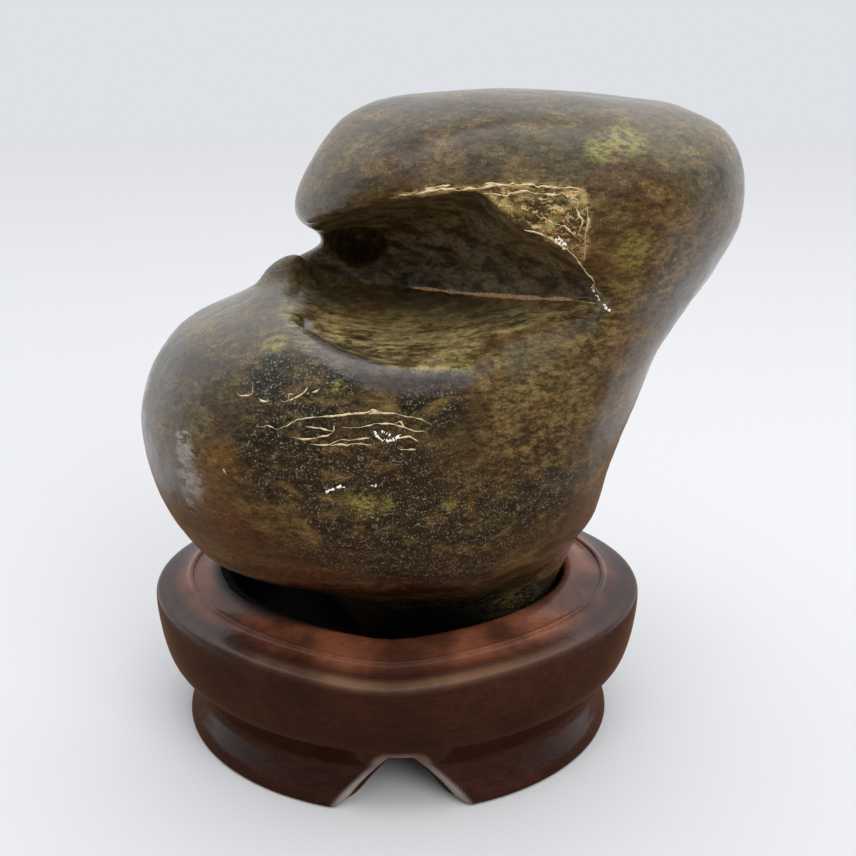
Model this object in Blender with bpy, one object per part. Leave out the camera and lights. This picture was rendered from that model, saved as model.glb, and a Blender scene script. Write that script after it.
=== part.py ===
"""A scholars rock: a dark polished stone shaped like a boot with a heavy cap, held upright in a carved wooden stand.

Lengths are written in millimetres and turned to metres where a mesh is made. X runs to the viewer's right,
Y away from the viewer and Z up. The two pieces are modelled about the middle of the stand, and one empty
carries them both to the middle of the whole object's footprint.
"""

import math

import bmesh
import bpy
from mathutils import Vector, noise

MM = 0.001

# ---- the stone ----------------------------------------------------------------------------------------
STONE_TOP = 118.9
STONE_FOOT = 15.0
# Each row is one level cut through the stone: its height, how far it reaches left, right, to the front and
# to the back, where along X it is deepest, and where along Y it is widest.
STONE_LEVELS = (
    (STONE_FOOT, -9.0, 21.0, -10.0, 12.0, 6.0, 1.0),
    (17.0, -12.5, 25.0, -13.0, 15.0, 6.0, 1.0),
    (22.0, -14.0, 28.0, -15.0, 17.5, 6.0, 1.0),
    (28.0, -16.0, 29.5, -17.0, 20.0, 6.0, 1.0),
    (32.0, -20.0, 30.8, -19.0, 22.0, 3.0, 1.0),
    (36.0, -29.5, 32.0, -23.0, 24.0, -2.0, 0.0),
    (40.0, -37.0, 33.4, -27.5, 25.5, -6.0, -1.0),
    (45.0, -40.3, 35.7, -31.0, 27.0, -8.0, -2.0),
    (52.0, -43.4, 37.4, -33.5, 28.5, -9.0, -2.0),
    (60.0, -45.6, 39.5, -34.2, 29.5, -9.0, -2.0),
    (68.0, -46.0, 42.3, -33.8, 30.5, -7.0, -1.0),
    (75.0, -43.5, 45.7, -32.0, 31.0, -4.0, 1.0),
    (80.0, -38.8, 49.4, -29.5, 31.0, 0.0, 3.0),
    (84.0, -29.0, 53.1, -27.5, 31.0, 6.0, 6.0),
    (88.0, -23.0, 56.3, -26.3, 31.0, 14.0, 9.0),
    (92.0, -16.2, 58.5, -25.5, 31.0, 18.0, 9.0),
    (97.5, -18.3, 59.8, -26.3, 31.0, 18.0, 5.0),
    (103.0, -16.9, 59.5, -26.5, 30.5, 18.0, 3.0),
    (108.0, -14.0, 57.8, -24.5, 29.0, 18.0, 2.0),
    (112.0, -11.2, 55.0, -20.5, 26.0, 18.0, 2.0),
    (115.0, -8.2, 49.6, -16.0, 22.0, 18.0, 2.0),
    (117.3, -3.0, 43.5, -10.5, 16.5, 17.0, 3.0),
    (118.5, 6.0, 30.0, -3.0, 9.5, 16.0, 3.0),
)
STONE_SQUARENESS = 2.25
STEPS_PER_LEVEL = 2
STONE_SIDES = 52
# Slow and quick unevenness of a river-worn stone: wavelength and depth.
WEATHERING = ((27.0, 1.3), (11.0, 0.35))
WEATHERING_STARTS = (Vector((3.1, 0.0, 0.0)), Vector((0.0, 7.4, 0.0)), Vector((0.0, 0.0, 5.7)))

# The hollow under the cap, cut by cut along X: where its floor meets its back wall (y, z), the height of
# its floor at the front, and its upper lip (y, z).
HOLLOW_CUTS = (
    (-62.0, 8.0, 95.0, 93.0, -24.0, 97.5),
    (-30.0, 8.0, 90.0, 88.0, -24.0, 97.5),
    (-20.0, 7.8, 87.0, 84.0, -24.0, 98.5),
    (-12.0, 7.2, 85.2, 80.8, -24.0, 100.4),
    (-6.0, 6.8, 84.5, 79.6, -24.0, 102.4),
    (0.0, 6.0, 84.0, 79.3, -24.0, 103.6),
    (5.0, 2.0, 84.2, 79.5, -24.0, 104.0),
    (11.0, -2.8, 84.6, 80.4, -24.0, 104.6),
    (14.5, -5.6, 84.9, 81.8, -23.5, 100.8),
    (18.5, -8.8, 85.2, 83.2, -23.0, 97.8),
    (24.0, -13.3, 85.9, 85.2, -23.0, 95.6),
    (28.0, -16.6, 86.4, 86.2, -23.0, 92.3),
    (32.0, -20.0, 86.8, 86.9, -24.0, 87.8),
    (34.0, -30.0, 87.0, 87.0, -31.0, 87.4),
)
HOLLOW_FRONT = -29.0
HOLLOW_REACH = -48.0
HOLLOW_WALL_STEPS = 5
# The deep dark end of the hollow, under the cap's left corner.
CAVE_MIDDLE = (-8.0, 7.0, 92.3)
CAVE_RADII = (5.6, 9.0, 4.6)

# ---- the stand ----------------------------------------------------------------------------------------
STAND_X = -1.5
STAND_TURN = math.radians(-3.0)
SHOULDER_HALF_LENGTH = 47.2
SHOULDER_HALF_DEPTH = 36.4
# The foot is nearly a plain oval, and the rim comes to blunter points at its two ends.
FOOT_SQUARENESS = 1.95
RIM_SQUARENESS = 1.56
# An inset takes this share of itself off the depth, against the whole of it off the length.
DEPTH_SHARE = 0.8
# The rim stands this much higher at the back than at the front.
RIM_RISE = 4.0
WAIST_HEIGHT = 8.0
SHOULDER_HEIGHT = 25.6
STAND_SIDES = 60
RECESS_DEPTH = 6.0
DISH_FLOOR = 24.0
# The stand's section, from the foot up over the rim and down into the dish: inset from the shoulder, height.
STAND_SECTION = (
    (13.0, RECESS_DEPTH),
    (12.4, 0.0),
    (5.6, 0.0),
    (4.8, 0.8),
    (5.2, 2.6),
    (6.4, 4.6),
    (7.6, 6.6),
    (7.8, WAIST_HEIGHT),
    (6.3, 9.8),
    (4.4, 12.0),
    (2.2, 15.0),
    (1.0, 18.6),
    (0.2, 22.6),
    (0.0, SHOULDER_HEIGHT),
    (0.6, 26.5),
    (3.4, 27.2),
    (6.2, 28.0),
    (7.0, 28.5),
    (7.7, 28.0),
    (9.4, 28.5),
    (11.2, 29.6),
    (12.0, 29.6),
    (12.8, 28.6),
    (13.8, 26.0),
    (15.4, DISH_FLOOR + 0.6),
    (18.0, DISH_FLOOR),
)
FIT_GAP = 0.4
SOCKET_LEVELS = 5

# An arch cut through the foot, at these turns round it.
ARCH_TURNS = (-86.8, 30.0, 150.0)
ARCH_HALF_WIDTH = 12.0
ARCH_HEIGHT = 8.3
ARCH_FLAT = 0.16
ARCH_BOW = 1.2
ARCH_INNER_SCALE = 0.7
ARCH_SIDE_STEPS = 5


# ---- shapes -------------------------------------------------------------------------------------------
def between(rows, index, t):
    """The row at t between rows[index] and the next, on a smooth curve through all the rows."""
    last = len(rows) - 1
    before, start = rows[max(index - 1, 0)], rows[index]
    end, after = rows[index + 1], rows[min(index + 2, last)]
    result = []
    for a, b, c, d in zip(before, start, end, after):
        slope_in, slope_out = (c - a) / 2, (d - b) / 2
        blend = (2 * b - 2 * c + slope_in + slope_out) * t**3
        blend += (-3 * b + 3 * c - 2 * slope_in - slope_out) * t**2
        result.append(blend + slope_in * t + b)
    return result


def rounded_point(half_length, half_depth, squareness, turn):
    """A point of a superellipse at an angle round it."""
    c, s = math.cos(turn), math.sin(turn)
    power = 2 / squareness
    x = math.copysign(abs(c) ** power, c) * half_length
    y = math.copysign(abs(s) ** power, s) * half_depth
    return x, y


def weathered(point):
    """The point moved in and out as a river-worn surface is."""
    shift = Vector()
    for wavelength, depth in WEATHERING:
        spot = point / wavelength
        shift += Vector([noise.noise(spot + start) for start in WEATHERING_STARTS]) * depth
    return point + shift


def level_ring(level, grow=0.0):
    """The points of one level cut of the stone, made larger by grow."""
    z, left, right, front, back, deepest, widest = level
    ring = []
    for side in range(STONE_SIDES):
        turn = math.tau * side / STONE_SIDES
        c, s = math.cos(turn), math.sin(turn)
        half_length = (right - deepest if c > 0 else deepest - left) + grow
        half_depth = (back - widest if s > 0 else widest - front) + grow
        x, y = rounded_point(half_length, half_depth, STONE_SQUARENESS, turn)
        ring.append(weathered(Vector((deepest + x, widest + y, z))))
    return ring


def stone_rings(levels, grow=0.0):
    rings = []
    for index in range(len(levels) - 1):
        for step in range(STEPS_PER_LEVEL):
            rings.append(level_ring(between(levels, index, step / STEPS_PER_LEVEL), grow))
    rings.append(level_ring(levels[-1], grow))
    return rings


def stand_ring(inset, z):
    """One ring of the stand, whose outline sharpens and tips forward from the waist up to the rim."""
    share = min(max((z - WAIST_HEIGHT) / (SHOULDER_HEIGHT - WAIST_HEIGHT), 0.0), 1.0)
    squareness = FOOT_SQUARENESS + (RIM_SQUARENESS - FOOT_SQUARENESS) * share
    half_depth = SHOULDER_HALF_DEPTH - inset * DEPTH_SHARE
    ring = []
    for side in range(STAND_SIDES):
        x, y = rounded_point(
            SHOULDER_HALF_LENGTH - inset, half_depth, squareness, math.tau * side / STAND_SIDES
        )
        rise = RIM_RISE * share**2 * (y / half_depth + 1) / 2
        ring.append(Vector((x, y, z + rise)))
    return ring


def solid_from_rings(name, rings, first_middle=None, last_middle=None):
    """A closed mesh through rings of equal count, closed at each end by a fan about a middle point."""
    work = bmesh.new()
    layers = [[work.verts.new(point * MM) for point in ring] for ring in rings]
    count = len(rings[0])
    for lower, upper in zip(layers, layers[1:]):
        for i in range(count):
            j = (i + 1) % count
            work.faces.new((lower[i], lower[j], upper[j], upper[i]))
    for layer, ring, middle in ((layers[0], rings[0], first_middle), (layers[-1], rings[-1], last_middle)):
        middle = middle or sum(ring, Vector()) / count
        tip = work.verts.new(middle * MM)
        for i in range(count):
            work.faces.new((layer[i], layer[(i + 1) % count], tip))
    bmesh.ops.recalc_face_normals(work, faces=work.faces)
    mesh = bpy.data.meshes.new(name)
    work.to_mesh(mesh)
    work.free()
    return mesh


def add_object(name, mesh, parent):
    piece = bpy.data.objects.new(name, mesh)
    bpy.context.scene.collection.objects.link(piece)
    piece.parent = parent
    return piece


def add_cutter(name, mesh, parent):
    cutter = add_object(name, mesh, parent)
    cutter.hide_render = True
    cutter.display_type = "WIRE"
    return cutter


def cut(piece, cutter):
    modifier = piece.modifiers.new(cutter.name, "BOOLEAN")
    modifier.operation = "DIFFERENCE"
    modifier.solver = "EXACT"
    modifier.object = cutter


# ---- cutters ------------------------------------------------------------------------------------------
def hollow_ring(row):
    """One cut across the hollow: along its floor to the back corner, and up its curved wall to the lip."""
    x, corner_y, corner_z, front_z, lip_y, lip_z = row
    fall = (corner_z - front_z) / (corner_y - HOLLOW_FRONT)
    front_low = Vector((x, HOLLOW_REACH, corner_z - fall * (corner_y - HOLLOW_REACH)))
    corner = Vector((x, corner_y, corner_z))
    bend = Vector((x, corner_y, corner_z + 0.85 * (lip_z - corner_z)))
    lip = Vector((x, lip_y, lip_z))
    ring = [front_low]
    for step in range(HOLLOW_WALL_STEPS + 1):
        t = step / HOLLOW_WALL_STEPS
        ring.append(corner * (1 - t) ** 2 + bend * (2 * t * (1 - t)) + lip * t**2)
    ring.append(Vector((x, HOLLOW_REACH, lip_z + 1.0)))
    return ring


def hollow_cutter(parent):
    return add_cutter(
        "hollow_cutter", solid_from_rings("hollow_cutter", [hollow_ring(row) for row in HOLLOW_CUTS]), parent
    )


def cave_cutter(parent):
    work = bmesh.new()
    bmesh.ops.create_icosphere(work, subdivisions=3, radius=1.0)
    for vert in work.verts:
        grown = Vector((vert.co[i] * CAVE_RADII[i] + CAVE_MIDDLE[i] for i in range(3)))
        vert.co = weathered(grown) * MM
    mesh = bpy.data.meshes.new("cave_cutter")
    work.to_mesh(mesh)
    work.free()
    return add_cutter("cave_cutter", mesh, parent)


def socket_cutter(parent):
    """The stone's own foot, a fit gap larger all round, so that the stone lifts straight out."""
    rings = stone_rings(STONE_LEVELS, FIT_GAP)[: SOCKET_LEVELS * STEPS_PER_LEVEL]
    floor = [point - Vector((0, 0, FIT_GAP)) for point in rings[0]]
    return add_cutter("socket_cutter", solid_from_rings("socket_cutter", [floor] + rings), parent)


def arch_outline(scale):
    """One arch across the foot, from its left toe over the top to its right toe, closed below."""
    points = []
    for step in range(-ARCH_SIDE_STEPS, ARCH_SIDE_STEPS + 1):
        t = step / ARCH_SIDE_STEPS
        fall = max(abs(t) - ARCH_FLAT, 0.0) / (1 - ARCH_FLAT)
        points.append((t * ARCH_HALF_WIDTH, ARCH_HEIGHT * (1 - fall**ARCH_BOW)))
    points.append((ARCH_HALF_WIDTH, -3.0))
    points.append((-ARCH_HALF_WIDTH, -3.0))
    return [(u * scale, z * scale) for u, z in points]


def arch_cutter(name, turn_degrees, parent):
    turn = math.radians(turn_degrees)
    outward = Vector((math.cos(turn) / SHOULDER_HALF_LENGTH, math.sin(turn) / SHOULDER_HALF_DEPTH, 0)).normalized()
    along = Vector((-outward.y, outward.x, 0))
    rings = []
    for inset, scale in ((20.0, ARCH_INNER_SCALE), (11.0, ARCH_INNER_SCALE), (4.0, 1.0), (-4.0, 1.4)):
        half_depth = SHOULDER_HALF_DEPTH - inset * DEPTH_SHARE
        x, y = rounded_point(SHOULDER_HALF_LENGTH - inset, half_depth, FOOT_SQUARENESS, turn)
        middle = Vector((x, y, 0))
        rings.append([middle + along * u + Vector((0, 0, z)) for u, z in arch_outline(scale)])
    return add_cutter(name, solid_from_rings(name, rings), parent)


# ---- materials and pieces -----------------------------------------------------------------------------
def finish(name, colour, roughness, coat=0.0):
    material = bpy.data.materials.new(name)
    material.use_nodes = True
    shader = material.node_tree.nodes["Principled BSDF"]
    shader.inputs["Base Color"].default_value = (*colour, 1.0)
    shader.inputs["Roughness"].default_value = roughness
    shader.inputs["Metallic"].default_value = 0.0
    shader.inputs["Coat Weight"].default_value = coat
    material.diffuse_color = (*colour, 1.0)
    return material


def build_stone(parent):
    mesh = solid_from_rings(
        "stone", stone_rings(STONE_LEVELS), last_middle=weathered(Vector((17.0, 3.0, STONE_TOP)))
    )
    stone = add_object("stone", mesh, parent)
    cut(stone, hollow_cutter(parent))
    cut(stone, cave_cutter(parent))
    mesh.materials.append(finish("polished_stone", (0.055, 0.045, 0.022), 0.18, 0.6))
    mesh.shade_smooth()
    return stone


def build_stand(parent):
    mesh = solid_from_rings("stand", [stand_ring(inset, z) for inset, z in STAND_SECTION])
    stand = add_object("stand", mesh, parent)
    stand.location.x = STAND_X * MM
    stand.rotation_euler.z = STAND_TURN
    socket = socket_cutter(parent)
    cut(stand, socket)
    for number, turn in enumerate(ARCH_TURNS, start=1):
        cutter = arch_cutter(f"arch_cutter_{number}", turn, parent)
        cutter.location.x = STAND_X * MM
        cutter.rotation_euler.z = STAND_TURN
        cut(stand, cutter)
    mesh.materials.append(finish("lacquered_hardwood", (0.035, 0.012, 0.009), 0.22, 0.8))
    mesh.shade_smooth()
    mesh.set_sharp_from_angle(angle=math.radians(40))
    return stand


def centre_over_origin(carrier, pieces):
    """Moves the carrier so that the middle of the pieces' footprint is over the origin."""
    bpy.context.view_layer.update()
    corners = [piece.matrix_world @ vert.co for piece in pieces for vert in piece.data.vertices]
    for axis in (0, 1):
        places = [corner[axis] for corner in corners]
        carrier.location[axis] = -(min(places) + max(places)) / 2


def main():
    for old in list(bpy.data.objects):
        bpy.data.objects.remove(old)
    carrier = bpy.data.objects.new("scholars_rock", None)
    bpy.context.scene.collection.objects.link(carrier)
    pieces = [build_stone(carrier), build_stand(carrier)]
    centre_over_origin(carrier, pieces)


main()
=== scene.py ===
"""The finish of a scholars rock and its stand: a dark, wet-looking river stone in lacquered hardwood.

Shapes are worked out in millimetres about the middle of the stand, with X to the viewer's right, Y away
from the viewer and Z up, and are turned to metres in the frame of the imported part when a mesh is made.
"""

import math
from functools import partialmethod

import bmesh
import bpy
import numpy as np
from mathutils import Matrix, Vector, noise
from mathutils.bvhtree import BVHTree


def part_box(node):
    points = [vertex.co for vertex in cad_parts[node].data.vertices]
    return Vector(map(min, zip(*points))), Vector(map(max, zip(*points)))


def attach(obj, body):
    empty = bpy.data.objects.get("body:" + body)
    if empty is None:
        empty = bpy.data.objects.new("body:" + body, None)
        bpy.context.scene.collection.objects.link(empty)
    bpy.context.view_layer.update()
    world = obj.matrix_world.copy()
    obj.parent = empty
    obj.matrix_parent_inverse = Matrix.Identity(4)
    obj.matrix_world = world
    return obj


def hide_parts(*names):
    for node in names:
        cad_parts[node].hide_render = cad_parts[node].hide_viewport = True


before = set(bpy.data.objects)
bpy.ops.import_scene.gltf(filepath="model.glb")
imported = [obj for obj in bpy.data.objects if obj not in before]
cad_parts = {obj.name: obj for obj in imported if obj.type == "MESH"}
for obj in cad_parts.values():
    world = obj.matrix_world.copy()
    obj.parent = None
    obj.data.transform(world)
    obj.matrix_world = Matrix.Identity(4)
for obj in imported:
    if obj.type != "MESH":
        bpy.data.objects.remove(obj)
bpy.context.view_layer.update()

# ---- the frame ------------
MM = 0.001
STAND_X = -1.5
STAND_TURN = math.radians(-3.0)
stand_low, stand_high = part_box("stand")
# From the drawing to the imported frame.
CARRIER = (stand_low + stand_high) / 2 - Vector((STAND_X * MM, 0, 0))
CARRIER.z = 0.0

# ---- the camera and the room ------------
EYE = (0.0, -167.0, 120.0)
EYE_TILT = math.radians(69.91)
EYE_TURN = math.radians(-1.585)
LENS = 39.95
SENSOR = 36.0
FLOOR_SIZE = 4.0
# The room's light by direction: straight up, at eye level behind the stone, and from the viewer's
# side. The camera itself sees the pale colour from behind the stone in every direction.
ROOM_ABOVE = (1.10, 1.11, 1.14)
ROOM_BEHIND = (0.735, 0.752, 0.785)
ROOM_BEFORE = (0.09, 0.086, 0.082)
ROOM_STRENGTH = 1.0
# What the gloss mirrors instead: bright walls at the two sides, and a ceiling that is bright towards
# the back and dim towards the front.
MIRRORED_SIDES = (1.02, 1.05, 1.10)
MIRRORED_ABOVE_BEHIND = (1.14, 1.17, 1.23)
MIRRORED_ABOVE_BEFORE = (0.42, 0.42, 0.43)
FLOOR_PALE = (0.84, 0.845, 0.857)
# What the floor throws back on to the piece: the warm, dim light of a wooden table, which gives way
# to the pale floor between these two distances behind the piece and beside it, in metres.
FLOOR_BOUNCE = (0.25, 0.125, 0.065)
TABLE_END = (0.13, 0.20)
TABLE_SIDE = (0.09, 0.16)
# Each lamp: its place, its width and depth in metres, and its power. The gloss doesn't mirror them.
LAMPS = {
    "ceiling_lamp": ((0.0, -0.25, 1.2), 0.5, 0.3, 1.5),
    "front_fill": ((0.5, -0.7, 0.65), 0.6, 0.6, 3.4),
}
LAMP_AIM = Vector((0.0, 0.0, 0.06))

# ---- the stone ------------
# Each row is one level cut through the stone: its height, how far it reaches left, right, to the front and
# to the back, where along X it is deepest, and where along Y it is widest.
STONE_LEVELS = (
    (15, -9, 21, -10, 12, 6, 1),
    (17, -12.5, 25, -13, 15, 6, 1),
    (22, -14, 28, -15, 17.5, 6, 1),
    (28, -16, 29.5, -17, 20, 6, 1),
    (32, -20, 30.8, -19, 22, 3, 1),
    (36, -29.5, 32, -23, 24, -2, 0),
    (40, -37, 33.4, -27.5, 25.5, -6, -1),
    (45, -40.3, 35.7, -31, 27, -8, -2),
    (52, -43.4, 37.4, -33.5, 28.5, -9, -2),
    (60, -45.6, 39.5, -34.2, 29.5, -9, -2),
    (68, -46, 42.3, -33.8, 30.5, -7, -1),
    (75, -43.5, 45.7, -32, 31, -4, 1),
    (80, -38.8, 49.4, -29.5, 31, 0, 3),
    (84, -29, 53.1, -27.5, 31, 6, 6),
    (88, -22.2, 56.3, -26.3, 31, 14, 9),
    (92, -13.8, 58.5, -25.5, 31, 18, 9),
    (97.5, -18.3, 59.8, -26.3, 31, 18, 5),
    (103, -16.9, 59.5, -26.5, 30.5, 18, 3),
    (108, -14, 57.8, -24.5, 29, 18, 2),
    (112, -11.2, 55, -20.5, 26, 18, 2),
    (115, -8.2, 49.6, -16, 22, 18, 2),
    (117.3, -3, 43.5, -10.5, 16.5, 17, 3),
    (118.5, 6, 30, -3, 9.5, 16, 3),
)
STONE_CROWN = (17, 3, 118.9)
STONE_SQUARENESS = 2.25
STONE_SIDES = 300
STEPS_PER_LEVEL = 10
# Slow and quick unevenness of a river-worn stone: wavelength and depth.
WEATHERING = ((27, 1.3), (11, 0.35))
WEATHERING_STARTS = (Vector((3.1, 0, 0)), Vector((0, 7.4, 0)), Vector((0, 0, 5.7)))

# The hollow under the cap, cut by cut along X: where its floor meets its back wall (y, z), the height of
# its floor at the front, and its upper lip (y, z).
HOLLOW_CUTS = (
    (-62, 8, 95, 93, -24, 97.5),
    (-30, 8, 90, 88, -24, 97.5),
    (-20, 7.8, 87, 84, -24, 98.5),
    (-12, 7.2, 85.2, 80.8, -24, 100.4),
    (-6, 6.8, 84.5, 79.6, -24, 102.4),
    (0, 6, 84, 79.3, -24, 103.6),
    (5, 2, 84.2, 79.5, -24, 104),
    (11, -2.8, 84.6, 80.4, -24, 104.6),
    (14.5, -5.6, 84.9, 81.8, -23.5, 100.8),
    (18.5, -8.8, 85.2, 83.2, -23, 97.8),
    (24, -13.3, 85.9, 85.2, -23, 95.6),
    (28, -16.6, 86.4, 86.2, -23, 92.3),
    (32, -20, 86.8, 86.9, -24, 87.8),
    (34, -30, 87, 87, -31, 87.4),
)
HOLLOW_STEPS = 6
HOLLOW_FRONT = -29
HOLLOW_REACH = -48
HOLLOW_WALL_STEPS = 32
# How far up the hollow's wall goes before it bends over to the lip, as a share of its height.
HOLLOW_BEND = 0.85
# The hollow lies between these heights and to the left of this end.
HOLLOW_HEIGHTS = (77, 106)
HOLLOW_RIGHT_END = 36
# The deep dark end of the hollow, under the cap's left corner.
CAVE_MIDDLE = (-7.3, 7, 92.3)
CAVE_RADII = (5, 8.6, 4.6)

# The width of the sculpting mesh's faces, and the triangles that are kept of it.
STONE_GRAIN = 0.45
HOLLOW_TOLERANCE = 0.5
STONE_TRIANGLES = 190000
# Rounds of evening out: everywhere but along the hollow's crisp edges, and then everywhere.
EVENING_ROUNDS = 60
LAST_EVENING_ROUNDS = 2
# Where the hollow's floor runs out into the body without an edge: rounds, half width, line.
RUN_OUTS = (
    (480, 6.5, ((8, -30, 79), (13, -29, 81.2), (19, -27.4, 83.6), (25, -26, 85.4), (33, -22, 87.4))),
    (200, 4, ((-26, 6, 87.6), (-23, -4, 86), (-19.5, -13, 84.4), (-14, -22, 82), (-8, -27, 80))),
)
CORNER_LINE = [(x, corner_y, corner_z) for x, corner_y, corner_z, *_ in HOLLOW_CUTS[3:13]]
LIP_LINE = [(x, lip_y, lip_z) for x, *_, lip_y, lip_z in HOLLOW_CUTS[5:13]]
# Water-worn relief: wavelength and depth, finer on the front.
RELIEF = ((7, 0.14), (2.6, 0.06), (1.4, 0.035))
# The bedding that shows on the hollow's floor and wall: wavelengths along X, Y and Z, and depth.
FLOOR_BEDS = ((15, 1.9, 2.6), 0.13)
FLOOR_BEDS_START = (-17, -5)
# Where along Y the floor's gold is gone and where it is full, and the half width of the band below the rim
# that is painted with a smooth grey sheen.
FLOOR_GOLD_REACH = (0, -23)
BAND_HALF_WIDTH = 2.1
BAND_LINE = (
    (-24, -14, 83.2), (-18.5, -19, 82), (-12.7, -25.6, 80.4), (-8, -28.8, 79), (-0.4, -31.2, 77.8),
    (7.2, -31.6, 77.8), (12.4, -30, 78.8), (15.4, -26.8, 80.4),
)
WALL_BEDS = ((8, 5, 1.5), 0.3)
# The chipped facet beside the lip: its corners (x, z), how far it is sunk, its ragged edge and its chips.
FACET_CORNERS = ((9.6, 105.3), (27, 105.4), (27.6, 93.6))
FACET_FRONT = -14
FACET_DEPTH = 0.4
FACET_RAGS = (2.4, 1.1)
CHIP_SIZE, CHIP_DEPTH = 1.3, 0.36
# The facet's bright edges as seen from the front (x, z): gilded mineral with painted glint on it.
GILT_EDGES = (
    ((-2, 103.2), (1.5, 104.3), (5, 105), (10.9, 105.2), (18.7, 105.7), (26.5, 105.1)),
    ((26.3, 105.6), (27.2, 102), (27.4, 98), (27, 93.8)),
)
GILT_HALF_WIDTH = 0.4

# Ridges (raised) and grooves (sunk): half width, height, the share of the length over which each
# thins out at its ends, and the points that it runs through.
RIDGES_AND_GROOVES = {
    "hump": (3.2, 4, 0.5, ((-26, 1, 85.6), (-21.5, 3.6, 86.8), (-17.5, 5.4, 86.8), (-12, 7.4, 86.4))),
    "basin_groove": (
        1.1, -1, 0.12,
        ((-17, -13, 84), (-14.6, -19, 83.2), (-8.3, -22, 81.6), (-0.4, -26, 80.4),
         (7.2, -27, 80.6), (11.9, -25, 81.8), (13.6, -21, 82.8)),
    ),
    "basin_rim": (
        2.4, 0.9, 0.12,
        ((-18.5, -18, 82.8), (-12.7, -24.8, 81.2), (-8, -27.8, 80), (-0.4, -30.4, 78.8),
         (7.2, -30.8, 78.8), (12.4, -29.2, 79.8), (14.6, -25.4, 81.2)),
    ),
    "cave_finger": (0.9, 0.9, 0.12, ((-17, 7, 89.2), (-12.6, 6.6, 88.6), (-9.8, 5, 87), (-8.6, 2.6, 85.2))),
    "cave_channel": (1.1, -0.9, 0.12, ((-21, 5.6, 87.6), (-16.4, 4.6, 86.8), (-12.4, 3.4, 85.6))),
    "right_rim": (
        3.2, -0.7, 0.35,
        ((12, -29.4, 81), (16, -28.4, 82.4), (19, -27.4, 83.6), (25, -26, 85.4), (31, -23.4, 87)),
    ),
    "cap_crease": (
        1.9, -0.3, 0.25,
        ((-3, -19, 107.6), (1.4, -19.6, 110.3), (5.9, -19.4, 112), (14.8, -19.1, 113.8),
         (23.9, -18.6, 113.8), (33.2, -17.6, 113), (41, -14.6, 112.6)),
    ),
}

# Colours, as light reflected in red, green and blue.
BLACK = (0.006, 0.005, 0.004)
GREEN_BLACK = (0.018, 0.018, 0.01)
OLIVE = (0.112, 0.082, 0.028)
BROWN = (0.118, 0.066, 0.024)
GOLD = (0.25, 0.172, 0.056)
PALE_SPECK = (0.43, 0.35, 0.2)
GREY_SPECK = (0.42, 0.39, 0.3)
SHADE_OLIVE = (0.31, 0.285, 0.185)
FLOOR_GOLD = (0.45, 0.355, 0.15)
BAND_SHEEN_GREY = (0.145, 0.134, 0.136)
MOSS = (0.27, 0.24, 0.058)
AMBER_AND_REFLECTION = (0.185, 0.1, 0.022)
RUST_AND_REFLECTION = (0.125, 0.05, 0.018)
DARK_RED = (0.035, 0.013, 0.008)
WET_HIGHLIGHT_GREY = (0.36, 0.345, 0.31)
FACET_OLIVE = (0.45, 0.375, 0.15)
GILT_AND_GLINT = (0.9, 0.69, 0.3)
# Spots of each colour on the surface: middle and radius.
SPOTS = {
    "moss": (
        ((-6, -33.7, 58.7), 2.6), ((-8.3, -33.8, 59.7), 1.4), ((-3, -33.6, 58.6), 1.8),
        ((-19.7, -24.2, 82), 2.6), ((-9.6, -31.3, 77), 1.5), ((33.6, -19.3, 111.6), 4.6),
        ((29.5, -21.6, 110.3), 3.2), ((8, -28, 79.6), 3.6), ((7.1, -32.5, 58), 1.6),
        ((31.5, -22.5, 100.5), 3.2), ((35, -22.5, 96), 4.6), ((17, -27, 83), 3.4),
    ),
    # Orange-brown spots: the stone's own colour, and on the left of the bulge a painted warm reflection of a
    # wooden table.
    "amber": (
        ((-30, -27.4, 61.2), 5.4), ((-27, -29, 65.6), 4.4), ((-31.5, -26.4, 56.6), 3.4),
        ((36.9, -23.4, 105.8), 1.4), ((10.4, -32, 57.4), 1.3), ((14.8, -29, 77.6), 1.4),
    ),
    # Reddish brown low on the stone: partly its own rusty colour, partly a painted warm reflection from the
    # table below.
    "rust": (((-26, -27, 52.6), 8), ((-16, -27, 44), 12), ((2, -28, 39), 9), ((30, -16, 43), 9)),
    "light": (((21, -30, 72), 13), ((31, -24, 85), 9), ((40, -18, 93), 10)),
    # Dark spots: mostly the stone's own green-black; the two low about the neck, at (6, -16, 24) and (20,
    # -10, 26), are painted shade down in the socket.
    "dark": (
        ((-4, -34, 57), 19), ((9, -33, 52), 16), ((-17, -32, 66), 12),
        ((21, -27, 57), 11), ((4, -31, 75), 7), ((6, -16, 24), 21),
        ((20, -10, 26), 14), ((-12, -30.5, 76), 7.5), ((-19.5, -27.5, 77), 6.5),
    ),
    # Painted shade: the stone's foot down in the socket is painted black.
    "shade": (((4, -16, 18), 24), ((24, 0, 18), 20), ((-14, 0, 18), 24)),
    # Painted wet highlight: irregular pale grey patches along the bulge's left edge.
    "scar": (
        ((-34, -26, 64.4), 3.4), ((-33.4, -26, 60), 4.2), ((-34.5, -24.6, 55.6), 2.6),
        ((-34.7, -26, 67.3), 2.2),
    ),
}
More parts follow.
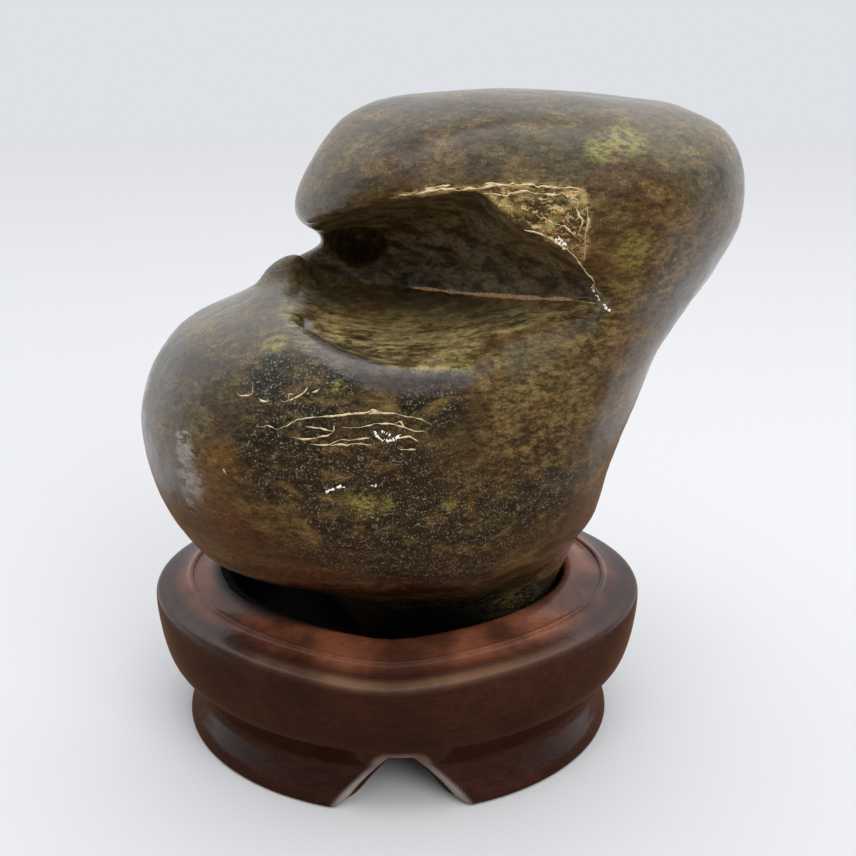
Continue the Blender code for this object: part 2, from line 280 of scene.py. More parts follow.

# Thin golden lines on the front of the bulge, each through its points as seen from the front (x, z): mineral
# veins that also glow a little by themselves as painted glints.
VEINS_AND_GLINTS = (
    ((-22.4, 70.8), (-20.3, 71.3), (-18.9, 70.8), (-16, 72.3), (-13.5, 72.7), (-9.6, 73), (-6.8, 73.3),
     (-4.4, 73.3), (-2.6, 73.1), (0.1, 72.7), (2.4, 72.2), (4.8, 70.9)),
    ((-14.7, 71.5), (-11.6, 71), (-10.4, 70.7), (-10.3, 71.7)),
    ((-17.1, 69.8), (-15, 69.6), (-12.6, 69.7), (-11.3, 70.1), (-10.4, 70.7)),
    ((-9.3, 71.2), (-6.8, 71.1), (-4.6, 71.5), (-1.6, 71.5), (0.1, 70.8), (1.9, 70.2), (3.6, 70.1)),
    ((-1.6, 71.5), (-0.4, 71.9), (0.1, 70.8)),
    ((-14.3, 68.8), (-11.6, 68.6), (-7.6, 68.7), (-4.7, 68.4)),
    ((-11.3, 68.6), (-9.4, 69.5), (-7.6, 69.3), (-4.9, 69.5)),
    ((-1.1, 69.4), (0.1, 69.3), (0.8, 69.5), (2.2, 68.7)),
    ((-0.7, 67.5), (2, 67.4)),
    ((-25.4, 75.3), (-24.9, 74.9), (-24.3, 75), (-23.4, 75.1), (-22.8, 75.6), (-22.6, 76.2)),
    ((-23.4, 75.1), (-23, 74.8)),
    ((-21.6, 74.9), (-21.2, 74.5), (-20.6, 74.6), (-19.9, 74.9)),
    ((-20.6, 74.6), (-20.2, 75.2)),
    ((-18.6, 75.1), (-17.8, 74.8), (-17.2, 75), (-16.6, 75.1), (-15.7, 75.6), (-14.9, 76.1), (-14.3, 76.9)),
    ((-17.2, 75), (-17, 75.8), (-16.2, 76)),
    ((-16.6, 75.1), (-15.9, 75.1)),
    ((-13.7, 76.3), (-13.1, 76.3), (-12.5, 76.7)),
    ((-5.6, 73.3), (-4.6, 73.6), (-3.2, 73.4)),
    ((-5.2, 73), (-4.2, 73.1), (-3.4, 73)),
    ((-27.9, 63.9), (-27.2, 62.9)),
)
# Golden threads along the lip and the facet: mineral colour with painted glint, as they glow a little by
# themselves.
LIP_THREADS_AND_GLINTS = (
    ((-1.6, 103.5), (1.5, 104.3), (5, 105), (10.9, 105.2), (14, 105.8), (18.7, 105.7), (26.5, 105.1)),
    ((11.5, 104.6), (15, 104.4), (18, 104.9), (22, 104.4), (26, 104.8)),
    ((26.9, 104.6), (27.5, 101.5), (27.2, 98), (27.6, 94.4)),
    ((18, 99.4), (21, 98.6), (24, 97), (26.4, 94.6), (29, 91.4), (30.9, 88.6)),
    ((19.4, 101.6), (22, 100.4), (24.2, 99.8), (26.8, 97.2)),
    ((22.6, 104.9), (24.2, 104.4), (25.8, 104)), ((22.9, 104.5), (24.6, 104), (26.2, 103.4)),
    ((12, 105.9), (13.2, 106), (14.6, 105.8)), ((12, 105.6), (13.8, 105.8)),
    ((3.6, 105), (5.4, 105.4), (7.4, 105.5)), ((25.6, 102.4), (26.6, 100.4), (26.2, 98.4)),
)
# A painted highlight: a glowing orange line along the hollow's back corner where wet stone catches the light,
# through its points as seen from the front (x, z).
CORNER_HIGHLIGHT_LINES = (
    ((1.5, 84.5), (6.7, 84.8), (11, 85.1), (16.6, 85.5), (21, 86), (25.7, 86.6), (30.6, 87.1)),
)
# Painted glints: small white crystals that glow a little by themselves, strewn along these lines, each
# through its points as seen from the front (x, z).
WHITE_GLINT_LINES = (
    ((-4.4, 70.2), (-3.6, 69.2), (-2, 68.9), (-0.6, 69.6)), ((-3.2, 70.4), (-2, 69.8)),
    ((22.8, 98), (23.4, 97.4)), ((23.6, 97.2), (24.3, 96.4)), ((23.2, 98.1), (24.4, 97)),
    ((29.7, 90.2), (30.1, 89)), ((30.5, 88.4), (31, 87.6)), ((31.6, 87), (32.2, 86.4)),
    ((-11.8, 61.2), (-10.8, 61.6)), ((-9.9, 62), (-9.2, 61.7)), ((-4.9, 61.9), (-4.3, 61.8)),
)
LINE_START = -60.0
# The sizes that each set of lines takes by name, in metres: thickness, step, swing, and length of a swing.
VEIN_SIZES = {"Girth": 0.00018, "Step": 0.00035, "Swing": 0.0007, "Swing length": 0.0016}
THREAD_SIZES = {"Girth": 0.00024, "Step": 0.00035, "Swing": 0.0014, "Swing length": 0.0020}
CORNER_HIGHLIGHT_SIZES = {"Girth": 0.0005, "Step": 0.0006, "Swing": 0.0003, "Swing length": 0.0040}
WHITE_GLINT_SIZES = {"Girth": 0.00058, "Step": 0.00024, "Swing": 0.0012, "Swing length": 0.0005}
CREAM_GOLD = (1.0, 0.84, 0.52)
ORANGE_HIGHLIGHT = (0.98, 0.62, 0.32)
WHITE_GLINT = (0.97, 0.96, 0.93)
# How strongly the white glints, the golden lines and the corner highlight glow by themselves: painted
# glitter, for they are no lamps.
WHITE_GLINT_GLOW, GILT_SHINE, CORNER_HIGHLIGHT_GLOW = 0.4, 0.12, 0.06

# ---- the stand ------------
SHOULDER_HALF_LENGTH = 47.2
SHOULDER_HALF_DEPTH = 36.4
# How the outline bends at its front and at its two ends: 1 is an oval, more comes to a point, less is blunt.
FOOT_BENDS = (1.03, 1.03)
RIM_BENDS = (1.5, 0.95)
POINT_ROUNDING = 0.3
# The foot and the underside of the belly stand out this much further to the front and the back.
FOOT_SWELL = 2.2
SWELL_INSETS = (11.0, 16.0)
# An inset takes this share of itself off the depth, against the whole of it off the length.
DEPTH_SHARE = 0.8
# The rim stands this much higher at the back than at the front.
RIM_RISE = 4.0
# The inset at which the outline has shrunk to a line in its middle.
MIDDLE_INSET = SHOULDER_HALF_DEPTH / DEPTH_SHARE
TOE_HEIGHT, TOE_INSET = 0.8, 4.8
WAIST_HEIGHT, WAIST_INSET = 8.0, 7.8
SHOULDER_HEIGHT = 25.6
RECESS_DEPTH = 6.0
DISH_FLOOR = 21.0
# The stand's section, from under its middle over the foot, the rim and the dish: inset, height.
STAND_SECTION = (
    (MIDDLE_INSET, RECESS_DEPTH),
    (30, RECESS_DEPTH),
    (13.6, RECESS_DEPTH),
    (12.8, RECESS_DEPTH - 0.6),
    (12.4, 0.4),
    (11.8, 0),
    (6.2, 0),
    (5.2, 0.2),
    (TOE_INSET, TOE_HEIGHT),
    (5.2, 2.6),
    (6.4, 4.6),
    (7.6, 6.6),
    (WAIST_INSET, WAIST_HEIGHT),
    (6.3, 9.8),
    (4.4, 12),
    (1.9, 15),
    (0.7, 18.6),
    (0.1, 22.6),
    (0, 24.9),
    (0.2, 26),
    (0.9, 26.6),
    (3.4, 27.2),
    (5.9, 27.9),
    (6.6, 28.5),
    (7.2, 28.5),
    (7.7, 28),
    (9.6, 28.5),
    (11.8, 29.4),
    (13.2, 29.6),
    (14.3, 29.1),
    (14.8, 28),
    (15.3, 26),
    (16.6, DISH_FLOOR + 0.8),
    (18.8, DISH_FLOOR),
    (MIDDLE_INSET, DISH_FLOOR),
)
SECTION_STEPS = 5
SEAM = 0.0001
FIT_GAP = 0.4
SOCKET_LEVELS = 5
SOCKET_SIDES = 120
# An arch is cut through the foot at each of these turns round it.
ARCH_TURNS = (-86.8, 30.0, 150.0)
ARCH_FLAT = 0.25
ARCH_BOW = 1.2
# The arch's outer edge is planed off: how wide, and how far in for each millimetre of its width. The planed
# band is painted with a pale highlight: full and gone above the arch, and gone below it, in widths of the
# band.
CHAMFER, CHAMFER_SLOPE = 2.3, 0.9
BEVEL_FULL, BEVEL_GONE, BEVEL_BELOW = 0.5, 1.6, -0.25
ARCH_OUTER_INSET, ARCH_INNER_INSET = 4.0, 11.0
ARCH_INNER_SCALE = 0.7
# The sizes that the stand's tree takes by name.
STAND_SIZES = {
    "Sides": 480,
    "Half length": SHOULDER_HALF_LENGTH,
    "Half depth": SHOULDER_HALF_DEPTH,
    "Rim rise": RIM_RISE,
    "Arch half width": 11.0,
    "Arch height": 10.2,
    "Arch rounding": 1.4,
}
# The dish inside the bead is left dull and painted near black as shade under the stone: its half length and
# half depth, its middle along X, and the height it lies above.
DISH_HALF_LENGTH, DISH_HALF_DEPTH, DISH_MIDDLE, DISH_HEIGHT = 35.0, 25.0, -2.4, 20.0
# The share of the way out at which its paint starts to fade, and the paint above which it is bare of lacquer.
DISH_EDGE, BARE_DISH = 0.9, 0.9

LACQUER_DARK = (0.036, 0.0135, 0.0095)
LACQUER_RED = (0.052, 0.018, 0.0115)
LACQUER_WORN_AND_LIT = (0.225, 0.076, 0.038)
LACQUER_EDGE_HIGHLIGHT = (0.3, 0.165, 0.095)
LACQUER_BEVEL_HIGHLIGHT = (0.68, 0.69, 0.7)
DISH_SHADE = (0.008, 0.004, 0.003)
# The rim's top is painted a brighter red, partly lacquer rubbed thin and partly painted light on the top
# surfaces: heights above which it starts and is full.
WORN_HEIGHTS = (25.6, 27.6)
WORN_INSETS = (2.6, 6.6)
# The shoulder's edge carries a painted highlight, paler towards the front: inset and half width of the
# highlight band, the heights between which it starts, and the middle and the reach of it along X.
EDGE_INSET, EDGE_HALF_WIDTH = 1.3, 1.3
EDGE_HEIGHTS = (25.2, 26.4)
EDGE_MIDDLE, EDGE_REACH = 2.0, 27.0


# ---- plain shapes ------------
def smooth_rows(rows, steps):
    """The rows with steps rows from each to the next, on a smooth curve through them all."""
    rows = np.array(rows, float)
    padded = np.vstack([rows[:1], rows, rows[-1:]])
    made = []
    for i in range(len(rows) - 1):
        before, start, end, after = padded[i : i + 4]
        slope_in, slope_out = (end - before) / 2, (after - start) / 2
        for t in np.arange(steps) / steps:
            bend = (2 * start - 2 * end + slope_in + slope_out) * t**3
            bend += (3 * end - 3 * start - 2 * slope_in - slope_out) * t**2
            made.append(bend + slope_in * t + start)
    return np.array(made + [rows[-1]])


def signed_power(values, power):
    return np.sign(values) * np.abs(values) ** power


def unevenness(points, wavelength, start=0.0):
    """Smooth noise between about -1 and 1 at each point; wavelength is one length, or one for each axis."""
    return np.array([noise.noise(Vector(spot)) for spot in points / wavelength + start])


def eased(values, low, high):
    """0 below low, 1 above high, and a smooth rise between."""
    t = np.clip((values - low) / (high - low), 0, 1)
    return t * t * (3 - 2 * t)


def weathered(points):
    """The points moved in and out as a river-worn surface is."""
    flat = points.reshape(-1, 3)
    moved = flat.copy()
    for wavelength, depth in WEATHERING:
        for axis, start in enumerate(WEATHERING_STARTS):
            moved[:, axis] += unevenness(flat, wavelength, np.array(start)) * depth
    return moved.reshape(points.shape)


def mesh_from_rings(name, rings, last_middle=None):
    """A closed mesh through rings of equal count, each end closed by a fan about a middle point."""
    count, sides = rings.shape[:2]
    last_middle = rings[-1].mean(0) if last_middle is None else last_middle
    points = np.vstack([rings.reshape(-1, 3), rings[0].mean(0), last_middle])
    here = np.arange(sides)
    after = (here + 1) % sides
    faces = []
    for ring in range(count - 1):
        low, high = ring * sides, (ring + 1) * sides
        faces += np.stack([low + here, low + after, high + after, high + here], 1).tolist()
    for low, tip in ((0, len(points) - 2), ((count - 1) * sides, len(points) - 1)):
        faces += np.stack([low + here, low + after, np.full(sides, tip)], 1).tolist()
    mesh = bpy.data.meshes.new(name)
    mesh.from_pydata(points * MM, [], faces)
    return turned_outwards(mesh)


def turned_outwards(mesh):
    """The mesh with its faces pointing out."""
    work = bmesh.new()
    work.from_mesh(mesh)
    bmesh.ops.recalc_face_normals(work, faces=work.faces)
    work.to_mesh(mesh)
    work.free()
    return mesh


def show(name, data):
    piece = bpy.data.objects.new(name, data)
    bpy.context.scene.collection.objects.link(piece)
    return piece


def settle(piece):
    """A plain mesh piece in place of one with modifiers, under the same name."""
    name = piece.name
    graph = bpy.context.evaluated_depsgraph_get()
    mesh = bpy.data.meshes.new_from_object(piece.evaluated_get(graph))
    bpy.data.objects.remove(piece)
    return show(name, mesh)


def poly_curves(name, lines):
    """Curves that run straight from point to point along each line."""
    curve = bpy.data.curves.new(name, "CURVE")
    curve.dimensions = "3D"
    for line in lines:
        row = curve.splines.new("POLY")
        row.points.add(len(line) - 1)
        for point, place in zip(row.points, line):
            point.co = (*place, 1)
    return curve


def cut_away(piece, cutter):
    modifier = piece.modifiers.new("cut", "BOOLEAN")
    modifier.operation = "DIFFERENCE"
    modifier.object = cutter
    piece = settle(piece)
    bpy.data.objects.remove(cutter)
    return piece


def numbers_of(items, field, width, kind=np.float32):
    """One field of a mesh's points, edges or stored numbers, as rows."""
    numbers = np.empty(len(items) * width, kind)
    items.foreach_get(field, numbers)
    return numbers.reshape(-1, width)


def points_of(mesh):
    return numbers_of(mesh.vertices, "co", 3).astype(float) / MM


def put_points(mesh, points):
    mesh.vertices.foreach_set("co", (points * MM).astype(np.float32).ravel())
    mesh.update()


def normals_of(mesh):
    return numbers_of(mesh.vertex_normals, "vector", 3).astype(float)


def edges_of(mesh):
    return numbers_of(mesh.edges, "vertices", 2, np.int32)


def evened(points, edges, rounds, share):
    """The points drawn towards the middle of their neighbours, by share of the way in each round."""
    count = np.bincount(edges.ravel(), minlength=len(points))[:, None]
    share = np.broadcast_to(np.asarray(share, float).reshape(-1, 1), (len(points), 1))
    for _ in range(rounds):
        total = np.empty_like(points)
        for axis in range(points.shape[1]):
            total[:, axis] = np.bincount(edges[:, 0], points[edges[:, 1], axis], len(points))
            total[:, axis] += np.bincount(edges[:, 1], points[edges[:, 0], axis], len(points))
        points = points + share * (total / count - points)
    return points


def place_in_frame(piece):
    """Moves the piece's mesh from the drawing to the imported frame, and leaves its object at the origin."""
    put_points(piece.data, points_of(piece.data) + np.array(CARRIER) / MM)


# ---- node trees ------------
class Wire:
    """One output of a node. A sum written with wires makes the math nodes that it needs."""

    def __init__(self, tree, socket):
        self.tree, self.socket = tree, socket

    def reckon(self, operation, *others):
        return add_node(self.tree, "ShaderNodeMath", {"operation": operation}, (self, *others))

    __add__ = partialmethod(reckon, "ADD")
    __sub__ = partialmethod(reckon, "SUBTRACT")
    __mul__ = partialmethod(reckon, "MULTIPLY")
    __truediv__ = partialmethod(reckon, "DIVIDE")
    __pow__ = partialmethod(reckon, "POWER")
    __abs__ = partialmethod(reckon, "ABSOLUTE")
    most = partialmethod(reckon, "MAXIMUM")
    least = partialmethod(reckon, "MINIMUM")
    soft_most = partialmethod(reckon, "SMOOTH_MAX")

    def mapped(self, low, high, to_low=0.0, to_high=1.0):
        """The value eased from low and high to the two other numbers."""
        node = self.tree.nodes.new("ShaderNodeMapRange")
        node.interpolation_type = "SMOOTHSTEP"
        for socket, value in zip(node.inputs, (self, low, high, to_low, to_high)):
            feed(self.tree, socket, value)
        return Wire(self.tree, node.outputs[0])


def feed(tree, socket, value):
    """Joins a wire to the socket, or sets the socket's own value."""
    if isinstance(value, Wire):
        tree.links.new(value.socket, socket)
    else:
        socket.default_value = value


def add_node(tree, kind, settings, inputs=(), output=0):
    """A new node's output. Inputs are a list in the node's own order, or a dictionary by name."""
    node = tree.nodes.new(kind)
    for name, value in settings.items():
        setattr(node, name, value)
    named = inputs.items() if isinstance(inputs, dict) else enumerate(inputs)
    for key, value in named:
        feed(tree, node.inputs[key], value)
    return Wire(tree, node.outputs[output])


def vector_math(tree, operation, inputs):
    return add_node(tree, "ShaderNodeVectorMath", {"operation": operation}, inputs)


def parts_of(tree, vector, axes=(0, 1, 2)):
    """The numbers along some of a vector's axes."""
    return (add_node(tree, "ShaderNodeSeparateXYZ", {}, [vector], output=axis) for axis in axes)


def give_sizes(tree, piece, sizes, title):
    """Runs the tree on the piece with each named size set."""
    modifier = piece.modifiers.new(title, "NODES")
    modifier.node_group = tree
    for item in tree.interface.items_tree:
        if item.in_out == "INPUT" and item.name in sizes:
            modifier[item.identifier] = sizes[item.name]


def new_geometry_tree(title, sizes):
    """An empty Geometry Nodes tree with a named input for each size, and wires from the inputs."""
    tree = bpy.data.node_groups.new(title, "GeometryNodeTree")
    tree.interface.new_socket("Geometry", in_out="INPUT", socket_type="NodeSocketGeometry")
    for name, value in sizes.items():
        kind = "Material" if isinstance(value, bpy.types.Material) else type(value).__name__.capitalize()
        tree.interface.new_socket(name, in_out="INPUT", socket_type=f"NodeSocket{kind}")
    tree.interface.new_socket("Geometry", in_out="OUTPUT", socket_type="NodeSocketGeometry")
    source = tree.nodes.new("NodeGroupInput")
    return tree, {socket.name: Wire(tree, socket) for socket in source.outputs if socket.name}


def stored(tree, geometry, name, value):
    """The geometry with a number stored on each of its points."""
    kind = {"data_type": "FLOAT", "domain": "POINT"}
    inputs = {"Geometry": geometry, "Name": name, "Value": value}
    return add_node(tree, "GeometryNodeStoreNamedAttribute", kind, inputs)


def end_geometry_tree(tree, geometry, material):
    """Realizes the shape, gives it its material and joins it to the tree's output."""
    realized = add_node(tree, "GeometryNodeRealizeInstances", {}, {"Geometry": geometry})
    finished = add_node(tree, "GeometryNodeSetMaterial", {}, {"Geometry": realized, "Material": material})
    output = tree.nodes.new("NodeGroupOutput")
    feed(tree, output.inputs[0], finished)


# ---- the stone's shape ------------
def stone_rings(levels, sides, grow=0.0):
    """The points round each level cut of the stone, made larger by grow."""
    turn = np.linspace(0, math.tau, sides, endpoint=False)
    c = signed_power(np.cos(turn), 2 / STONE_SQUARENESS)
    s = signed_power(np.sin(turn), 2 / STONE_SQUARENESS)
    rings = []
    for z, left, right, front, back, deepest, widest in levels:
        half_length = np.where(c > 0, right - deepest, deepest - left) + grow
        half_depth = np.where(s > 0, back - widest, widest - front) + grow
        rings.append(np.stack([deepest + c * half_length, widest + s * half_depth, np.full(sides, z)], 1))
    return weathered(np.array(rings))


def hollow_rings():
    """The hollow's cuts: along its floor to the back corner, and up its curved wall to the lip."""
    rings = []
    for x, corner_y, corner_z, front_z, lip_y, lip_z in smooth_rows(HOLLOW_CUTS, HOLLOW_STEPS):
        fall = (corner_z - front_z) / (corner_y - HOLLOW_FRONT)
        corner = np.array((x, corner_y, corner_z))
        bend = np.array((x, corner_y, corner_z + HOLLOW_BEND * (lip_z - corner_z)))
        lip = np.array((x, lip_y, lip_z))
        ring = [np.array((x, HOLLOW_REACH, corner_z - fall * (corner_y - HOLLOW_REACH)))]
        for t in np.linspace(0, 1, HOLLOW_WALL_STEPS + 1):
            ring.append(corner * (1 - t) ** 2 + bend * (2 * t * (1 - t)) + lip * t**2)
        ring.append(np.array((x, HOLLOW_REACH, lip_z + 1.0)))
        rings.append(ring)
    return np.array(rings)


def cave_mesh():
    work = bmesh.new()
    bmesh.ops.create_icosphere(work, subdivisions=5, radius=1.0)
    grown = np.array([vert.co for vert in work.verts]) * CAVE_RADII + CAVE_MIDDLE
    for vert, point in zip(work.verts, weathered(grown)):
        vert.co = Vector(point) * MM
    mesh = bpy.data.meshes.new("cave")
    work.to_mesh(mesh)
    work.free()
    return mesh


def stone_blank():
    """The stone with its hollow and cave cut, as an even fine mesh."""
    rings = stone_rings(smooth_rows(STONE_LEVELS, STEPS_PER_LEVEL), STONE_SIDES)
    crown = weathered(np.array([STONE_CROWN]))[0]
    stone = show("river_stone", mesh_from_rings("river_stone", rings, last_middle=crown))
    stone = cut_away(stone, show("hollow", mesh_from_rings("hollow", hollow_rings())))
    stone = cut_away(stone, show("cave", cave_mesh()))
    remesh = stone.modifiers.new("grain", "REMESH")
    remesh.mode = "VOXEL"
    remesh.voxel_size = STONE_GRAIN * MM
    return settle(stone)


def nearness(points, line, half_width, taper=0.12):
    """1 on a line, falling smoothly to 0 over a few half widths, and thinning out towards its two ends."""
    line = smooth_rows(line, 12)
    low, high = line.min(0) - 3 * half_width, line.max(0) + 3 * half_width
    near = np.nonzero(((points > low) & (points < high)).all(1))[0]
    gaps = np.linalg.norm(points[near, None] - line[None], axis=2)
    closest = gaps.argmin(1)
    along = closest / (len(line) - 1)
    result = np.zeros(len(points))
    ends = eased(np.minimum(along, 1 - along), 0.0, taper)
    result[near] = np.exp(-((gaps.min(1) / half_width) ** 2)) * ends
    return result


def inside_corners(points, corners, softness):
    """1 well inside a triangle drawn on the front, 0 outside it, with a ragged edge of the given softness."""
    size, swing = FACET_RAGS
    x, z = (points[:, axis] + unevenness(points, size, start) * swing for axis, start in ((0, 2.7), (2, 6.1)))
    depth = np.full(len(points), np.inf)
    for (x0, z0), (x1, z1) in zip(corners, corners[1:] + corners[:1]):
        along = np.array((x1 - x0, z1 - z0)) / math.hypot(x1 - x0, z1 - z0)
        depth = np.minimum(depth, (z - z0) * -along[0] + (x - x0) * along[1])
    return eased(depth, 0, softness) * (points[:, 1] < FACET_FRONT)


def in_hollow(points):
    """1 on the hollow's and the cave's own surfaces, 0 elsewhere."""
    x, _, z = points.T
    near = (z > HOLLOW_HEIGHTS[0]) & (z < HOLLOW_HEIGHTS[1]) & (x < HOLLOW_RIGHT_END)
    found = np.zeros(len(points))
    for gauge in (mesh_from_rings("hollow_gauge", hollow_rings()), cave_mesh()):
        tree = BVHTree.FromPolygons(points_of(gauge).tolist(), [face.vertices[:] for face in gauge.polygons])
        for i in np.nonzero(near)[0]:
            if tree.find_nearest(points[i], HOLLOW_TOLERANCE)[0] is not None:
                found[i] = 1
        bpy.data.meshes.remove(gauge)
    return found


def carve_lines(mesh):
    """Raises the ridges and sinks the grooves, one after another."""
    for half_width, height, taper, line in RIDGES_AND_GROOVES.values():
        points = points_of(mesh)
        lift = nearness(points, line, half_width, taper) * height
        put_points(mesh, points + normals_of(mesh) * lift[:, None])


def surfaces(mesh, edges, rounds):
    """How far each point is on the hollow's floor, on its wall and on the chipped facet."""
    points = points_of(mesh)
    hollow = evened(in_hollow(points)[:, None], edges, rounds, 0.5)[:, 0]
    floor = hollow * eased(normals_of(mesh)[:, 2], 0.35, 0.7)
    return floor, hollow - floor, inside_corners(points, FACET_CORNERS, 0.7) * (1 - hollow)


def roughen(mesh, edges):
    """Adds the relief that is finer than the ridges: wear, bedding and chips."""
    points, normals = points_of(mesh), normals_of(mesh)
    floor, wall, facet = surfaces(mesh, edges, 6)
    lip = nearness(points, LIP_LINE, 1.1)
    floor_beds = floor * eased(points[:, 0], *FLOOR_BEDS_START)
    height = np.zeros(len(points))
    for wavelength, depth in RELIEF:
        height += unevenness(points, wavelength) * depth
    for share, (wavelengths, depth) in ((floor_beds, FLOOR_BEDS), (wall, WALL_BEDS)):
        height += unevenness(points, np.array(wavelengths), 9.3) * depth * share
    chips = 1 - 2 * np.abs(unevenness(points, CHIP_SIZE, 4.1))
    height -= facet * FACET_DEPTH
    height += np.maximum(facet, lip) * (chips - 0.6) * CHIP_DEPTH
    put_points(mesh, points + normals * height[:, None])


def paint(mesh, name, values):
    """Stores a number for each point, for the finish to read."""
    layer = mesh.attributes.new(name, "FLOAT", "POINT")
    layer.data.foreach_set("value", values.astype(np.float32))


def spot(points, middle, radius):
    """1 within two fifths of the radius, and a smooth fall to 0 at the radius."""
    return 1 - eased(np.linalg.norm(points - middle, axis=1), radius * 0.4, radius)


def paint_stone(mesh):
    points = points_of(mesh)
    floor, wall, facet = surfaces(mesh, edges_of(mesh), 3)
    paint(mesh, "floor", floor * eased(points[:, 1], *FLOOR_GOLD_REACH))
    # The band below the hollow's rim gets a painted grey sheen.
    paint(mesh, "band", nearness(points, BAND_LINE, BAND_HALF_WIDTH, 0.3))
    # Painted shade along the groove behind the hollow's rim.
    paint(mesh, "groove", nearness(points, RIDGES_AND_GROOVES["basin_groove"][3], 0.9))
    paint(mesh, "wall", wall)
    paint(mesh, "facet", facet)
    edging = [nearness(points[:, ::2], line, GILT_HALF_WIDTH) for line in GILT_EDGES]
    paint(mesh, "gilt", np.max(edging, 0) * (points[:, 1] < FACET_FRONT))
    for name, spots in SPOTS.items():
        paint(mesh, name, np.max([spot(points, *place) for place in spots], 0))


def build_stone(finish):
    stone = stone_blank()
    mesh = stone.data
    edges = edges_of(mesh)
    points = points_of(mesh)
    crisp = np.maximum(nearness(points, CORNER_LINE, 1.2), nearness(points, LIP_LINE, 2.2))
    points = evened(points, edges, EVENING_ROUNDS, 0.5 * (1 - crisp))
    for rounds, half_width, line in RUN_OUTS:
        run_out = nearness(points, line, half_width)
        points = evened(points, edges, rounds, 0.5 * run_out * (1 - crisp))
    put_points(mesh, evened(points, edges, LAST_EVENING_ROUNDS, 0.5))
    carve_lines(mesh)
    roughen(mesh, edges)
    decimate = stone.modifiers.new("thin_out", "DECIMATE")
    decimate.ratio = min(1.0, STONE_TRIANGLES / (2 * len(mesh.polygons)))
    stone = settle(stone)
    stone.data.shade_smooth()
    paint_stone(stone.data)
    stone.data.materials.clear()
    stone.data.materials.append(finish)
    return stone


# ---- lines and flecks on the stone ------------
def drawn_curves(title, lines):
    """The lines as curves that hang in front of the stone."""
    return poly_curves(title, [[(x * MM, LINE_START * MM, z * MM) for x, z in line] for line in lines])


def laid_lines(tree, size):
    """The lines cut into short steps, swung about and pressed straight back on to the stone."""
    steps = {"Curve": size["Geometry"], "Length": size["Step"]}
    fine = add_node(tree, "GeometryNodeResampleCurve", {"mode": "LENGTH"}, steps)
    place = add_node(tree, "GeometryNodeInputPosition", {})
    waves = {"Vector": place, "Scale": size["Swing length"] ** -1.0, "Detail": 3.0, "Roughness": 0.6}
    swing = add_node(tree, "ShaderNodeTexNoise", {}, waves, output=1)
    swing = vector_math(tree, "SUBTRACT", [swing, (0.5, 0.5, 0.5)])
    swing = vector_math(tree, "SCALE", {0: swing, 3: size["Swing"]})
    start = vector_math(tree, "ADD", [place, swing])
    stone = add_node(tree, "GeometryNodeObjectInfo", {}, {"Object": size["Stone"]}, output="Geometry")
    ray = {"Target Geometry": stone, "Source Position": start, "Ray Direction": (0, 1, 0), "Ray Length": 1.0}
    landed = add_node(tree, "GeometryNodeRaycast", {}, ray, output="Hit Position")
    return add_node(tree, "GeometryNodeSetPosition", {}, {"Geometry": fine, "Position": landed})


def thread_tree(title, sizes):
    """Lays each drawn line on the stone as a thin crooked thread of uneven thickness."""
    tree, size = new_geometry_tree(title, sizes)
    laid = laid_lines(tree, size)
    along = add_node(tree, "GeometryNodeSplineParameter", {})
    taper = (along * (along * -1.0 + 1.0) * 4.0).most(0.0) ** 0.4
    place = add_node(tree, "GeometryNodeInputPosition", {})
    lumps = add_node(tree, "ShaderNodeTexNoise", {}, {"Vector": place, "Scale": size["Swing length"] ** -1.0})
    lumps = lumps.mapped(0.38, 0.64, 0.4, 2.1)
    sides = {"Resolution": 6, "Radius": size["Girth"] * 0.5}
    ring = add_node(tree, "GeometryNodeCurvePrimitiveCircle", {}, sides)
    swept = {"Curve": laid, "Profile Curve": ring, "Scale": lumps * taper, "Fill Caps": True}
    thread = add_node(tree, "GeometryNodeCurveToMesh", {}, swept)
    end_geometry_tree(tree, thread, size["Finish"])
    return tree


def random_vectors(tree, inputs):
    return add_node(tree, "FunctionNodeRandomValue", {"data_type": "FLOAT_VECTOR"}, inputs)


def fleck_tree(title, sizes):
    """Strews small crystals along the drawn lines; with their white glowing finish they stand as painted
    glints.
    """
    tree, size = new_geometry_tree(title, sizes)
    round_one = {"Radius": size["Girth"] * 0.5, "Subdivisions": 1}
    crystal = add_node(tree, "GeometryNodeMeshIcoSphere", {}, round_one)
    turned = random_vectors(tree, {1: (math.tau,) * 3, "Seed": 7})
    scaled = random_vectors(tree, {0: (0.1,) * 3, 1: (1.25,) * 3, "Seed": 11})
    places = {"Points": laid_lines(tree, size), "Instance": crystal, "Rotation": turned, "Scale": scaled}
    strewn = add_node(tree, "GeometryNodeInstanceOnPoints", {}, places)
    end_geometry_tree(tree, strewn, size["Finish"])
    return tree


def build_lines(title, make_tree, lines, sizes, stone, finish):
    sizes = {**sizes, "Stone": stone, "Finish": finish}
    piece = show(title, drawn_curves(title, lines))
    give_sizes(make_tree(title, sizes), piece, sizes, "lay")
    piece = settle(piece)
    turned_outwards(piece.data)
    return piece


# ---- the stand's shape ------------
def section_curve():
    """The stand's section as a line, with X the inset and Z the height."""
    rows = smooth_rows(STAND_SECTION, SECTION_STEPS)
    return poly_curves("stand_section", [[(inset, 0, max(height, 0)) for inset, height in rows]])


